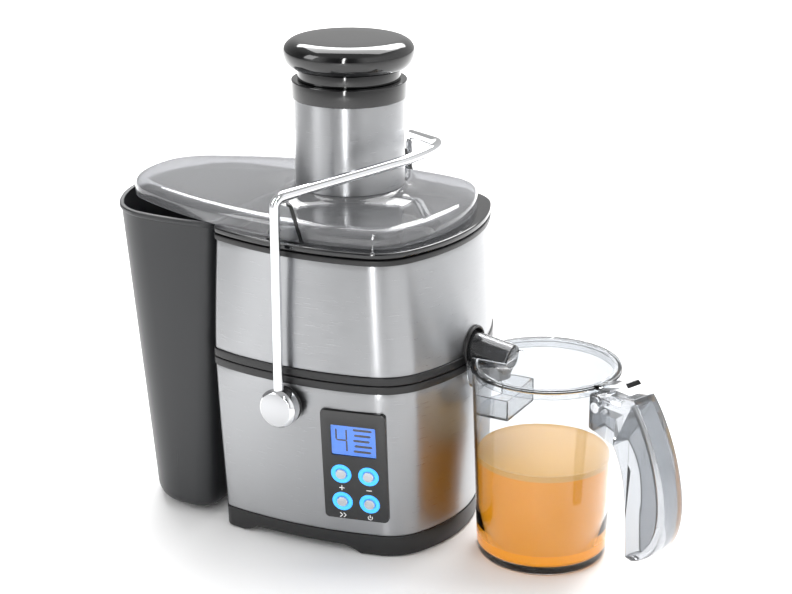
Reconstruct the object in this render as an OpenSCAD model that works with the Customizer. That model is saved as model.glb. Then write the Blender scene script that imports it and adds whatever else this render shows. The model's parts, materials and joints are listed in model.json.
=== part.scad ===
// Centrifugal juicer: motor base, juicing bowl and strainer basket, clear lid with a feed chute,
// swing-over locking bail, side pulp bin and a lidded juice jug under the spout.
// Millimetres, +Z up, front (control panel) towards -Y, spout and jug towards +X.

/* [Body] */
// Height of the steel lower jacket's bottom edge above the table
skirt_h = 18; // [14:1:26]
// Height of the split between the lower and the upper housing
seam_z = 148; // [135:1:165]
// Height of the upper jacket's top edge
jacket_top = 241; // [225:1:262]
// Half depth of the housing at its top
top_half_w = 96; // [90:1:108]
// Half depth of the housing at its foot
foot_half_w = 84; // [80:1:98]
// Reach of the housing to the right of the chute axis, at the top
top_reach = 101; // [96:1:112]
// Reach of the housing to the right of the chute axis, at the foot
foot_reach = 100.5; // [92:1:108]
// Gap between the juice bowl and the housing's flat left side
left_gap = 1.5; // [1:0.5:8]
// How far the housing swells outwards at the split
bulge = 6.5; // [2:0.5:9]
// Sheet thickness of the steel jackets
jacket_t = 1; // [0.6:0.1:1.6]
// Height of each black trim ring at the split
trim_h = 6.8; // [4:0.2:9]
// How far the trim stands out of the jackets
trim_proud = 1.2; // [0.6:0.1:2]

/* [Lid and chute] */
// Bore of the feed chute
chute_bore = 75; // [60:1:78]
// Wall of the clear feed tube
chute_wall = 3; // [2:0.1:4]
// Height of the chute's top edge above the dome
chute_rise = 77; // [54:1:99]
// Height of the steel sleeve's lower edge above the dome
sleeve_rise = 7.5; // [4:0.5:19]
// Thickness of the steel sleeve
sleeve_t = 1.3; // [0.8:0.1:2]
// Height of the black chute collar
collar_h = 12; // [8:1:18]
// Height of the clear dome above the flange
dome_h = 15; // [12:1:24]
// Wall of the clear lid
lid_wall = 2.4; // [1.8:0.1:3]
// How far the dome ends inside the pulp bin's rim, at the left
dome_inset = 6; // [5:1:16]

/* [Pusher] */
// Radial clearance of the pusher in the chute
pusher_clear = 0.6; // [0.4:0.1:1.2]
// How far the pusher's cap stands out past the chute's collar
cap_over = 6; // [2:1:10]
// Height of the pusher's cap
cap_h = 22; // [18:1:26]

/* [Basket] */
// Outer radius of the strainer basket's rim
basket_r = 66; // [60:0.5:66.5]
// Radius of the grater disc
grater_r = 45; // [40:1:48]
// Height of the grater disc's top above the split
grater_rise = 36; // [32:1:42]

/* [Bail] */
// Radius of the bail's round bar
bar_r = 3.9; // [3:0.1:4.5]
// Depth of the bail's pivot below the split
pivot_drop = 23; // [20:1:33]
// Place of the pivot, measured from the chute axis
pivot_x = -3; // [-10:1:4]
// Distance from the housing's top edge out to each leg of the bail
leg_gap = 11.5; // [10:0.5:22]
// Height above the dome at which the legs turn into the bow
bow_lift = 21.5; // [16:0.5:34]
// Rise of the bow, in degrees
bow_rise = 15; // [10:1:20]
// Radius of the bow's nose around the chute
nose_r = 62; // [56:1:70]
// Radius of the pivot knobs
knob_r = 15.4; // [13:0.2:15.6]

/* [Pulp bin] */
// Reach of the bin's rim, left of the chute axis
bin_reach = 192; // [185:1:205]
// How much narrower the bin's rim is than the housing's top, on each side
bin_inset = 16; // [10:1:18]
// Wall of the pulp bin
bin_wall = 2.2; // [1.8:0.1:3]
// Height of the bin's underside above the table
bin_lift = 6; // [4:1:14]

/* [Jug] */
// Gap between the housing's widest part and the jug's rim
jug_gap = 3.6; // [3:0.1:15]
// Height of the jug's rim above the split
jug_rise = 4; // [2:0.5:6]
// Outer radius of the jug at its rim
jug_rim_r = 55.9; // [50:0.1:56]
// Outer radius of the jug at its base
jug_base_r = 50; // [44:0.5:51]
// Wall of the jug
jug_wall = 2.2; // [1.8:0.1:3]
// Turn of the handle towards the front, in degrees
handle_turn = 22; // [0:1:30]
// Reach of the handle from the jug's axis
handle_reach = 130; // [120:1:140]
// Width of the handle
handle_w = 22; // [18:1:26]

/* [Spout] */
// Outer radius of the spout
spout_r = 13; // [10:0.5:13.5]
// Height of the spout's axis above the split, where it leaves the housing
spout_rise = 11; // [10:0.5:13]
// Fall of the spout, in degrees
spout_fall = 10; // [6:1:12]

/* [Control panel] */
// Width of the control panel
panel_w = 51; // [48:0.5:54]
// Height of the control panel
panel_h = 95; // [90:1:98]
// Depth of the panel's middle below the middle of the lower jacket
panel_drop = 1.1; // [-2:0.1:4]
// Direction that the panel faces, in degrees from the right-hand side
panel_dir = 282; // [278:1:286]
// Radius of the push buttons
button_r = 4.3; // [3.5:0.1:5]
// Travel of the push buttons
button_travel = 0.8; // [0.5:0.1:1.2]
// Spacing of the push buttons across
button_dx = 21.5; // [19:0.5:23]
// Spacing of the push buttons downwards
button_dz = 24.3; // [21:0.1:26]

/* [Hidden] */
$fn = 96;
step = 5;           // angle between the points of a lofted ring
tiny = 0.01;
fit_gap = 0.3;      // gap between parts that slide or swing past each other
press_gap = 0.05;   // running clearance of pins and shafts

flange_r = 2.5;                      // how far the lid's flange stands out of the jackets
flange_bottom = jacket_top + 5.4;    // underside of the lid's flange
flange_top = flange_bottom + 4.6;
dome_top = flange_top + dome_h;
sleeve_bottom = dome_top + sleeve_rise;
chute_top = dome_top + chute_rise;
skirt_lip = 6;
tray_floor = 8;
deck_z = seam_z - trim_h;            // underside of the motor deck
deck_t = 5;
panel_z = (skirt_h + deck_z) / 2 - panel_drop;
grater_z = seam_z + grater_rise;
bowl_floor = deck_z + deck_t + 3;
bowl_r = basket_r + 3;               // inner radius of the juice bowl
bowl_wall = 2.5;
left_reach = bowl_r + bowl_wall + left_gap;   // reach of the housing's flat left side
chute_r = chute_bore / 2;
tube_r = chute_r + chute_wall;
sleeve_r = tube_r + 0.2 + sleeve_t;
chute_bottom = grater_z + 6;
collar_r = sleeve_r + 2;               // outer radius of the chute's collar
collar_top = chute_top + collar_h;
cap_r = collar_r + cap_over;
bin_right = left_reach + 4.5;        // the bin's inner side, left of the chute axis
bin_top = flange_top - 0.4;
bead = 1.5;
bin_half_w = top_half_w - bin_inset;
dome_reach_left = bin_reach - dome_inset;
pivot_z = seam_z - pivot_drop;
leg_y = top_half_w + leg_gap;
bow_z = dome_top + bow_lift;
spout_z = seam_z + spout_rise;
jug_h = seam_z + jug_rise;
jug_x = top_reach + bulge + jug_gap + jug_rim_r;
spout_start = top_reach - 12;
jug_left = jug_x - jug_rim_r;
// The handle's back, as a curve through four control points
back_curve = [[handle_reach - 31.4, jug_h + 6], [handle_reach - 7.6, jug_h - 19.5],
  [handle_reach + 25.7, jug_h - 100.1], [handle_reach - 28, jug_h - 121]];
handle_tip = max([for (i = [0:12]) bezier(back_curve, i / 12).x]);   // widest point of the handle
handle_out = handle_tip * cos(handle_turn) + handle_w / 2 * sin(handle_turn);
shift = -(jug_x + handle_out - bin_reach - bead) / 2;   // centres the whole juicer on the origin

// Colours
steel = "#c9cacc";
black = "#1c1c1e";
gloss_black = "#101013";
smoke = [0.35, 0.36, 0.38, 0.45];
clear = [0.75, 0.78, 0.8, 0.35];
chrome = "#dfe1e4";
rubber = "#2a2a2a";
white_plastic = "#dcdcd8";
copper = "#b87333";

// ---- Outlines made of tangent arcs ----
function dir(t) = [cos(t), sin(t)];
function mix(a, b, k) = a * (1 - k) + b * k;
// Corner centre where an end arc and a side arc are both tangent to the corner arc
function corner(c1, r1, c2, r2) =
  let (v = c2 - c1, d = norm(v), u = v / d, p = (r1 * r1 - r2 * r2 + d * d) / (2 * d))
  c1 + p * u + sqrt(r1 * r1 - p * p) * [-u.y, u.x];
// A quarter of an outline: reach a, half width b, end radius, corner radius and side radius
function quarter(a, b, r_end, r_corner, r_side) =
  let (c1 = [a - r_end, 0], c2 = [0, b - r_side],
       cc = corner(c1, r_end - r_corner, c2, r_side - r_corner), e = cc - c1, s = cc - c2)
  [[c1, r_end], [cc, r_corner], [c2, r_side], atan2(e.y, e.x), atan2(s.y, s.x)];
function quarter_point(q, t) =
  let (arc = t < q[3] ? q[0] : t < q[4] ? q[1] : q[2]) arc[0] + arc[1] * dir(t);
// An outline is [apex x, right quarter, left quarter]; its point whose outward normal points along t
function outline_point(o, t) =
  let (u = t > 180 ? 360 - t : t, right = u <= 90,
       p = right ? quarter_point(o[1], u) : quarter_point(o[2], 180 - u))
  [o[0] + (right ? p.x : -p.x), (t > 180 ? -1 : 1) * p.y];
function outline(o, d = 0) = [for (t = [0:step:359]) outline_point(o, t) + d * dir(t)];
function at_height(points, z) = [for (p = points) [p.x, p.y, z]];
flat = 3000;   // end radius of a side that is as good as flat

apex_top = 5;
apex_foot = -20;
outline_top = [apex_top, quarter(top_reach - apex_top, top_half_w, 160, 39, 232),
  quarter(left_reach + apex_top, top_half_w, flat, 8, 232)];
outline_foot = [apex_foot, quarter(foot_reach - apex_foot, foot_half_w, 116, 37, 317),
  quarter(left_reach + apex_foot, foot_half_w, flat, 8, 317)];

// The housing's outline at a height: it blends from foot to top, and swells at the split
function swell(z) =
  let (t = z > seam_z ? (z - seam_z) / (jacket_top - seam_z) : (seam_z - z) / (seam_z - skirt_h))
  bulge * (1 - pow(min(t, 1), 1.5));
// The flat left side neither swells nor takes the full width of the trim
function proud(t) = t <= 90 || t >= 270 ? 1 : abs(sin(t));
function body_point(t, z, d = 0) =
  let (k = (jacket_top - min(z, jacket_top)) / (jacket_top - skirt_h))
  mix(outline_point(outline_top, t), outline_point(outline_foot, t), min(k, 1))
    + (swell(min(max(z, skirt_h), jacket_top)) * proud(t) + (d > 0 ? d * proud(t) : d)) * dir(t);
function body_ring(z, d = 0) =
  [for (t = [0:step:359]) let (p = body_point(t, z, d)) [p.x, p.y, z]];

// ---- Lofts ----
// A skin over rings that have the same number of points. A closed skin joins the last ring to the
// first, which makes a tube-like wall; an open one has an end face on its first and last ring.
module skin(rings, closed = false) {
  n = len(rings[0]);
  m = len(rings);
  sides = [for (i = [0:(closed ? m - 1 : m - 2)], j = [0:n - 1])
    let (k = (i + 1) % m, l = (j + 1) % n)
    each [[i * n + j, k * n + j, k * n + l], [i * n + j, k * n + l, i * n + l]]];
  ends = closed ? [] : [[for (j = [0:n - 1]) j], [for (j = [n - 1:-1:0]) (m - 1) * n + j]];
  polyhedron([for (r = rings, p = r) p], concat(sides, ends));
}
// A wall between two offsets of the housing, through the given heights
module body_wall(heights, outer, inner) {
  n = len(heights);
  skin(concat([for (z = heights) body_ring(z, outer)],
    [for (i = [n - 1:-1:0]) body_ring(heights[i], inner)]), closed = true);
}
module body_slab(z0, z1, d) {
  skin([body_ring(z0, d), body_ring(z1, d)]);
}
module tube(r_out, r_in, z0, z1) {
  translate([0, 0, z0]) difference() {
    cylinder(r = r_out, h = z1 - z0);
    translate([0, 0, -1]) cylinder(r = r_in, h = z1 - z0 + 2);
  }
}
module rod_y(x, z, r, y0, y1) {
  translate([x, y0, z]) rotate([-90, 0, 0]) cylinder(r = r, h = y1 - y0);
}
module on_both_sides() {
  children();
  mirror([0, 1, 0]) children();
}
module row() {
  translate([shift, 0, 0]) children();
}

// ---- Base ----
arch_front = foot_reach - 54.5;    // right end of the arch between the front feet
arch_rear = -left_reach + 23;
arch_h = 7;
foot_left = [-left_reach + 15, foot_half_w - 18];
foot_right = [foot_reach - 38.5, foot_half_w - 22];
post_left = [-left_reach + 13, 38];
post_right = [foot_reach - 34.5, 36];
function four(a, b) = [[a.x, -a.y], [b.x, -b.y], a, b];
foot_places = four(foot_left, foot_right);
post_places = four(post_left, post_right);
post_r = 6;
screw_r = 1.9;
pad_h = 5;
pad_r = 9;
module base_tray() {
  color(black) row() difference() {
    union() {
      skin([
        body_ring(1, -1.5), body_ring(4, 0), body_ring(skirt_h, 0.8), body_ring(skirt_h, -jacket_t - 0.2),
        body_ring(skirt_h + skirt_lip, -jacket_t - 0.2), body_ring(skirt_h + skirt_lip, -3.4),
        body_ring(skirt_h, -3.8), body_ring(1, -4.5)], closed = true);
      body_slab(tray_floor, tray_floor + 2.5, -3);
      for (p = foot_places)
        translate([p.x, p.y, pad_h - 1]) cylinder(r = pad_r + 2, h = tray_floor - pad_h + 1.5);
    }
    translate([arch_rear, -150, -1]) cube([arch_front - arch_rear, 300, arch_h + 1]);
    for (p = foot_places) translate([p.x, p.y, -1]) cylinder(r = pad_r, h = pad_h + 1);
    for (p = post_places) translate([p.x, p.y, 0]) cylinder(r = screw_r + 0.2, h = 30);
    for (i = [-4:4]) translate([i * 7 - 1.5, -30, 0]) cube([3, 60, 30]);
  }
}
module rubber_feet() {
  color(rubber) row() for (p = foot_places) translate([p.x, p.y, 0]) {
    cylinder(r = pad_r - 1.2, h = 1);
    translate([0, 0, 1]) cylinder(r = pad_r, h = pad_h - 1);
  }
}

// ---- Control panel, in its own frame: +X across, +Z up, -Y outwards ----
panel_top_point = body_point(panel_dir, panel_z + panel_h / 2);
panel_low_point = body_point(panel_dir, panel_z - panel_h / 2);
panel_point = body_point(panel_dir, panel_z);
panel_lean = atan(((panel_top_point - panel_low_point) * dir(panel_dir)) / panel_h);
panel_face = -1.2;      // front face of the bezel, outside the jacket
bezel_t = 6;
bezel_back = panel_face + bezel_t;
lcd_w = 34.5;
lcd_h = 25.5;
lcd_z = 22;
button_row_z = -7.3;
ring_r = 8;
button_out = 1.6;       // how far a button stands out of the bezel
switch_h = 3.2;
button_back = bezel_back + 1.4;
switch_y = button_back + button_travel + 0.1;
board_y = switch_y + switch_h;
board_t = 1.6;
module in_panel() {
  translate([panel_point.x, panel_point.y, panel_z])
    rotate([panel_lean, 0, panel_dir - 270]) children();
}
module at_buttons(which = [0, 1, 2, 3]) {
  for (i = which) translate([(i % 2 - 0.5) * button_dx, 0, button_row_z - floor(i / 2) * button_dz])
    rotate([-90, 0, 0]) children();
}
module panel_plate(w, h, r, y0, y1) {
  translate([0, y1, 0]) rotate([90, 0, 0]) linear_extrude(y1 - y0)
    offset(r = r, $fn = 32) square([w - 2 * r, h - 2 * r], center = true);
}
module panel_bezel() {
  color(gloss_black) row() in_panel() difference() {
    panel_plate(panel_w, panel_h, 4, panel_face, bezel_back);
    translate([0, 0, lcd_z]) {
      panel_plate(lcd_w, lcd_h, 1, panel_face - 1, bezel_back + 1);
      panel_plate(lcd_w + 3, lcd_h + 3, 1.5, panel_face + 1, panel_face + 2.2);
      panel_plate(lcd_w + 2.2, lcd_h + 2.2, 1, panel_face + 2.2, bezel_back + 1);
    }
    at_buttons() {
      translate([0, 0, panel_face - 1]) cylinder(r = ring_r, h = 3.4);
      cylinder(r = button_r + fit_gap, h = 20);
    }
  }
}
module lcd_window() {
  color([0.6, 0.7, 0.9, 0.4]) row() in_panel() translate([0, 0, lcd_z])
    panel_plate(lcd_w + 3, lcd_h + 3, 1.5, panel_face + 1, panel_face + 2.2);
}
module lcd_module() {
  color("#2b5fc0") row() in_panel() translate([0, 0, lcd_z])
    panel_plate(lcd_w + 2, lcd_h + 2, 1, panel_face + 2.3, board_y);
}
module button_light_rings() {
  color("#5fb4f5") row() in_panel() at_buttons()
    tube(ring_r, button_r + fit_gap, panel_face - 0.6, panel_face + 2.4);
}
module push_button(i) {
  color("#c3c5c8") row() in_panel() at_buttons([i]) difference() {
    translate([0, 0, panel_face - button_out])
      cylinder(r = button_r, h = button_back - panel_face + button_out);
    translate([0, 0, bezel_back - 2]) cylinder(r = button_r - 1.4, h = 10);
  }
}
module button_plus() {
  push_button(0);
}
module button_minus() {
  push_button(1);
}
module button_turbo() {
  push_button(2);
}
module button_power() {
  push_button(3);
}
module tact_switches() {
  color("#303034") row() in_panel() at_buttons() {
    translate([-3, -3, switch_y + 0.8]) cube([6, 6, switch_h - 0.8]);
    translate([0, 0, bezel_back - 1]) cylinder(r = 1.4, h = switch_y + 2 - bezel_back);
  }
}
module control_board() {
  color("#1d6b3a") row() in_panel() translate([0, board_y, 0]) {
    translate([-panel_w / 2 + 2, 0, -panel_h / 2 + 3]) cube([panel_w - 4, board_t, panel_h - 6]);
    translate([-12, board_t, -34]) cube([24, 9, 14]);
    translate([-9, board_t, -4]) cube([18, 3, 18]);
  }
}

// ---- Housing ----
boss_r = 15;
boss_hole_r = 12;
gland_x = apex_foot + 2;
gland_z = 36;
gland_r = 7.5;
cord_bore_r = 3.4;
trim_in = 1.3;          // inner face of the trim rings, inside the housing's outline
low_heights = [skirt_h, 50, 85, 115, deck_z];
module pivot_holes(r) {
  rod_y(pivot_x, pivot_z, r, -150, 150);
}
collar_out = top_reach + bulge + 1.3;      // outer end of the spout's collar
collar_hole_r = spout_r + 4.5;
collar_z = spout_z - (top_reach + 4 - spout_start) * tan(spout_fall);
module spout_hole(r) {
  translate([top_reach - 24, 0, collar_z]) rotate([0, 90, 0]) cylinder(r = r, h = 60);
}
module spout_axis() {
  translate([spout_start, 0, spout_z]) rotate([0, 90 + spout_fall, 0]) children();
}
module lower_jacket() {
  color(steel) row() difference() {
    body_wall(low_heights, 0, -jacket_t);
    pivot_holes(boss_hole_r + 0.1);
    in_panel() panel_plate(panel_w + 0.4, panel_h + 0.4, 4.2, -8, 12);
    rod_y(gland_x, gland_z, gland_r + 0.1, 40, 150);
    spout_hole(collar_hole_r);
  }
}
module seam_trim_lower() {
  color(black) row() difference() {
    skin([body_ring(deck_z, trim_proud), body_ring(seam_z - 1.2, trim_proud), body_ring(seam_z, 0.2),
      body_ring(seam_z, -trim_in), body_ring(deck_z, -trim_in)], closed = true);
    spout_hole(collar_hole_r);
  }
}
module seam_trim_upper() {
  color(black) row() difference() {
    skin([body_ring(seam_z, 0.2), body_ring(seam_z + 1.2, trim_proud),
      body_ring(seam_z + trim_h, trim_proud),
      body_ring(seam_z + trim_h, -trim_in), body_ring(seam_z, -trim_in)], closed = true);
    spout_hole(collar_hole_r);
  }
}
module upper_jacket() {
  z0 = seam_z + trim_h;
  color(steel) row() difference() {
    body_wall([z0, mix(z0, jacket_top, 0.35), mix(z0, jacket_top, 0.7), jacket_top], 0, -jacket_t);
    spout_hole(collar_hole_r);
  }
}
shaft_r = 4;
seal_r = 11;
module motor_deck() {
  color(black) row() difference() {
    union() {
      body_slab(deck_z, deck_z + deck_t, -trim_in - 0.1);
      for (p = post_places)
        translate([p.x, p.y, tray_floor + 2.5]) cylinder(r = post_r, h = deck_z - tray_floor);
    }
    translate([0, 0, deck_z - 1]) cylinder(r = seal_r, h = deck_t + 2);
    for (p = post_places) translate([p.x, p.y, 0]) cylinder(r = screw_r, h = tray_floor + 22);
    spout_hole(collar_hole_r);
    spout_axis() translate([0, 0, -20]) cylinder(r = spout_r + fit_gap, h = 60);
  }
}
module shaft_seal() {
  color(rubber) row() difference() {
    translate([0, 0, deck_z]) cylinder(r = seal_r, h = deck_t + 2);
    translate([0, 0, deck_z - 1]) cylinder(r = shaft_r + 0.4, h = deck_t + 4);
  }
}
module housing_screws() {
  color("#8f9296") row() for (p = post_places) translate([p.x, p.y, 0]) {
    translate([0, 0, tray_floor - 2.2]) cylinder(r = 3.6, h = 2.2);
    translate([0, 0, tray_floor]) cylinder(r = screw_r, h = 18);
  }
}
module cord_gland() {
  y = -body_point(270, gland_z).y;
  color(black) row() difference() {
    union() {
      rod_y(gland_x, gland_z, gland_r, y - 12, y + 3);
      rod_y(gland_x, gland_z, gland_r + 3, y + 2, y + 5);
      rod_y(gland_x, gland_z, gland_r + 3, y - 8, y - 5);
    }
    rod_y(gland_x, gland_z, cord_bore_r, y - 20, y + 10);
  }
}

// ---- Motor ----
frame_top = deck_z - 17;     // top of the upper bearing plate
plate_t = 7;
frame_low = 44;              // underside of the lower bearing plate
stator_r = 40;
stator_bore = 27.5;
armature_r = 26.5;
pillar_place = 45;
bearing_r = 11;
mount_place = 36;
module motor_frame() {
  color("#a5a8ab") row() difference() {
    union() {
      for (z = [frame_low, frame_top - plate_t])
        translate([0, 0, z]) cylinder(r = pillar_place + 5, h = plate_t);
      for (a = [0:90:270]) rotate([0, 0, a])
        translate([pillar_place, 0, frame_low]) cylinder(r = 4, h = frame_top - frame_low);
    }
    translate([0, 0, frame_low - 1]) cylinder(r = bearing_r, h = frame_top);
    for (a = [45:90:315]) rotate([0, 0, a])
      translate([28, 0, frame_low - 1]) cylinder(r = 8, h = plate_t + 2);
  }
}
module motor_stator() {
  color("#7d8084") row() {
    tube(stator_r, stator_bore, 66, frame_top - plate_t - 8);
    color(copper) tube(stator_r - 4, stator_bore + 3, 60, 66);
    color(copper) tube(stator_r - 4, stator_bore + 3, frame_top - plate_t - 8, frame_top - plate_t - 3);
    for (a = [0:90:270]) rotate([0, 0, a])
      translate([stator_r - 1, -3, 68]) cube([pillar_place - stator_r - 3 + tiny, 6, 36]);
  }
}
module motor_bearings() {
  color(chrome) row() for (z = [frame_low, frame_top - plate_t])
    tube(bearing_r, shaft_r + press_gap, z, z + plate_t);
}
module brush_holders() {
  color("#8a6a3a") row() for (s = [-1, 1]) scale([s, 1, 1])
    translate([12.5, -4, frame_low + plate_t]) cube([16, 8, 8]);
}
module rubber_mounts() {
  color(rubber) row() for (a = [0:90:270]) rotate([0, 0, a])
    translate([mount_place, 0, frame_top]) cylinder(r = 7, h = deck_z - frame_top);
}
module motor_shaft() {
  color(chrome) row() translate([0, 0, 21]) cylinder(r = shaft_r, h = bowl_floor + 2 - 21);
}
module on_shaft(r, z0, z1) {
  tube(r, shaft_r, z0, z1);
}
module armature() {
  color(copper) row() on_shaft(armature_r, 68, frame_top - plate_t - 9);
}
module commutator() {
  color(copper) row() on_shaft(12, frame_low + plate_t + 1, 64);
}
module cooling_fan() {
  color(white_plastic) row() {
    on_shaft(10, 24, 36);
    difference() {
      on_shaft(36, 24, 26);
      translate([0, 0, 20]) cylinder(r = 9, h = 10);
    }
    for (a = [0:30:330]) rotate([0, 0, a]) translate([9.5, -0.8, 25.5]) cube([26, 1.6, 10]);
  }
}
coupling_r = 12;
coupling_top = grater_z - 8;
module drive_coupling() {
  color(black) row() difference() {
    union() {
      translate([0, 0, bowl_floor]) cylinder(r = coupling_r - 2, h = 8);
      translate([0, 0, bowl_floor + 8]) cylinder(r = coupling_r - 2, h = coupling_top - bowl_floor - 8);
      for (a = [0:60:300]) rotate([0, 0, a])
        translate([coupling_r - 3, -1.5, bowl_floor + 8]) cube([3, 3, coupling_top - bowl_floor - 8]);
    }
    translate([0, 0, bowl_floor - 1]) cylinder(r = shaft_r, h = 3);
  }
}
module safety_switch() {
  color("#d8a02a") row() {
    translate([pivot_x - 10, top_half_w - 22, deck_z - 16]) cube([20, 7, 16]);
    translate([pivot_x - 8, top_half_w - 15, deck_z - 12]) cube([3, 2, 3]);
  }
}

// ---- Bowl and basket ----
hub_tube_r = coupling_r + 2.4;
module juice_bowl() {
  color(black) row() difference() {
    union() {
      tube(bowl_r + bowl_wall, bowl_r, bowl_floor, jacket_top);
      tube(bowl_r + 1, hub_tube_r, bowl_floor, bowl_floor + 3);
      tube(hub_tube_r + 2, hub_tube_r, bowl_floor, bowl_floor + 14);
      difference() {
        body_slab(jacket_top - 3, jacket_top, -jacket_t - 0.2);
        translate([0, 0, jacket_top - 4]) cylinder(r = bowl_r, h = 5);
      }
      tube(seal_r + 5, seal_r + 3, deck_z + deck_t, bowl_floor + 1);
      difference() {
        spout_axis() translate([0, 0, bowl_r - spout_start + 1])
          cylinder(r = spout_r - 0.1, h = spout_start - bowl_r - 1);
        translate([0, 0, bowl_floor]) cylinder(r = bowl_r, h = 60);
      }
    }
    spout_axis() cylinder(r = spout_r - 2.5, h = 60, center = true);
  }
}
module bowl_rim() {
  color("#3b3c3e") row()
    body_wall([jacket_top, jacket_top + 4.4], flange_r, -3);
}
module lid_seal() {
  color(rubber) row()
    skin([body_ring(jacket_top, -3.2), body_ring(flange_bottom, -3.2),
      body_ring(flange_bottom, -5.6), body_ring(jacket_top, -5.6)], closed = true);
}
hub_skirt_r = hub_tube_r + 3.4;
module basket_hub() {
  color("#e4e4e0") row() {
    tube(hub_skirt_r + 2.2, hub_skirt_r, bowl_floor + 8, grater_z - 4);
    difference() {
      translate([0, 0, grater_z - 6]) cylinder(r = grater_r + 3, h = 4);
      translate([0, 0, grater_z - 7]) cylinder(r = 3, h = 10);
    }
  }
}
module grater_disc() {
  teeth_rings = [12:7:40];
  color(steel) row() {
    translate([0, 0, grater_z - 2]) cylinder(r = grater_r, h = 1);
    for (r = teeth_rings, a = [0:360 / floor(r * 0.5):359]) rotate([0, 0, a + r * 7])
      translate([r, -0.4, grater_z - 1.2]) cube([2.2, 0.8, 1.8]);
  }
}
cone_foot_r = grater_r + 1.5;
cone_top_r = basket_r - 4;
cone_top = jacket_top - 15;
module cone_section(r0, r1, z0, z1, t) {
  rotate_extrude() polygon([[r0, z0], [r0 + t, z0], [r1 + t, z1], [r1, z1]]);
}
module filter_cone() {
  color(chrome) row() {
    cone_section(cone_foot_r, cone_top_r, grater_z - 2, cone_top, 0.9);
    tube(cone_foot_r + 0.9, cone_foot_r - 1.3, grater_z - 2, grater_z - 1);
  }
}
module basket_rim() {
  color("#e4e4e0") row() difference() {
    translate([0, 0, cone_top - 2]) cylinder(r = basket_r, h = 7);
    translate([0, 0, cone_top - 3]) cylinder(r = cone_top_r + 1, h = 20);
  }
}
module spout_collar() {
  color(black) row() difference() {
    intersection() {
      spout_hole(collar_hole_r - 0.1);
      translate([spout_start + 6, -50, 0]) cube([collar_out - spout_start - 6, 100, 300]);
    }
    spout_axis() cylinder(r = spout_r + 0.1, h = 60);
  }
}
spout_tip = jug_left + 28;      // end of the spout, past the jug's rim
outlet_x = spout_tip - spout_r - 1;
outlet_z = jug_h - 17;
spout_len = (spout_tip - spout_start) / cos(spout_fall);
spout_wall = 2.2;
module spout() {
  color(smoke) row() difference() {
    union() {
      spout_axis() cylinder(r = spout_r, h = spout_len);
      translate([outlet_x, 0, outlet_z]) cylinder(r = spout_r - 1, h = 12);
    }
    spout_axis() translate([0, 0, -1]) cylinder(r = spout_r - spout_wall, h = spout_len - spout_wall);
    translate([outlet_x, 0, outlet_z - 1]) cylinder(r = spout_r - 1 - spout_wall, h = 16);
  }
}

// ---- Lid ----
dome_d = -8;                    // the dome's wall, inside the flange's edge
dome_outline = [apex_top,
  quarter(top_reach - apex_top + dome_d, top_half_w + dome_d, 150, 32, 224),
  quarter(dome_reach_left + apex_top, top_half_w + dome_d, 92, 46, 370)];
edge_r = 8;
function dome_ring(z, d) = at_height(outline(dome_outline, d), z);
function dome_rings(d, lift) = concat([dome_ring(flange_top - 1 - (d < 0 ? 5 : 0), d)],
  [for (a = [0:22.5:90]) dome_ring(dome_top - edge_r + edge_r * sin(a) - lift, d - edge_r * (1 - cos(a)))]);
neck_r = sleeve_r + 8.5;
module lid_cover() {
  color(smoke) row() difference() {
    union() {
      skin(dome_rings(0, 0));
      intersection() {
        body_slab(flange_bottom, flange_top, flange_r);
        translate([-left_reach - 2, -150, 0]) cube([300, 300, 400]);
      }
    }
    skin(dome_rings(-lid_wall, lid_wall));
    translate([-300, -150, flange_bottom - 5])
      cube([300 - left_reach - 2, 300, 5 + flange_top - flange_bottom]);
    translate([0, 0, dome_top - 20]) cylinder(r = tube_r, h = 60);
  }
}
module chute_skirt() {
  color(smoke) row() difference() {
    translate([0, 0, dome_top]) cylinder(r1 = neck_r, r2 = sleeve_r, h = sleeve_bottom - dome_top);
    translate([0, 0, dome_top - 1]) cylinder(r = tube_r, h = 60);
  }
}
catch_t = 5;
catch_y = top_half_w - 2;
catch_outline = [[-16, flange_top], [-8, bow_z - 12], [-3, bow_z - 8.5], [4, bow_z - 9.5],
  [13, flange_top]];
module bail_catches() {
  color(clear) row() on_both_sides()
    translate([pivot_x, -catch_y + catch_t, 0]) rotate([90, 0, 0])
      linear_extrude(catch_t) polygon(catch_outline);
}
module chute_tube() {
  color(smoke) row() tube(tube_r, chute_r, chute_bottom, chute_top);
}
module chute_sleeve() {
  color(steel) row() tube(sleeve_r, tube_r + 0.2, sleeve_bottom, chute_top - 1);
}
module chute_collar() {
  color(gloss_black) row() rotate_extrude() polygon([
    [chute_r, chute_top], [sleeve_r, chute_top], [sleeve_r, chute_top - 2], [collar_r, chute_top - 2],
    [collar_r, collar_top - 1.5], [collar_r - 1.5, collar_top], [chute_r + 0.6, collar_top],
    [chute_r, collar_top - 0.6]]);
}

// ---- Pusher ----
pusher_r = chute_r - pusher_clear;
neck_h = 11;
cap_bottom = collar_top + neck_h - 1;
cap_top = cap_bottom + cap_h;
module pusher_body() {
  color(black) row() difference() {
    union() {
      translate([0, 0, chute_bottom + 2]) cylinder(r = pusher_r, h = cap_bottom - chute_bottom - 2);
      translate([0, 0, collar_top + 0.1]) cylinder(r = chute_r + 1.6, h = neck_h - 1.1);
    }
    translate([0, 0, chute_bottom + 5]) cylinder(r = pusher_r - 2.6, h = 400);
  }
}
cap_edge = 0.55 * cap_h;        // height of the cap's widest ring above its underside
function cap_profile() = concat(
  [[0, cap_bottom], [cap_r - 10, cap_bottom]],
  [for (a = [-60:20:0])
    [cap_r - 10 + 10 * cos(a), cap_bottom + cap_edge + (cap_edge - 1) / sin(60) * sin(a)]],
  [for (a = [15:15:90]) [cap_r - 12 + 12 * cos(a), cap_bottom + cap_edge + (cap_h - cap_edge) * sin(a)]],
  [[0, cap_top]]);
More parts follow.
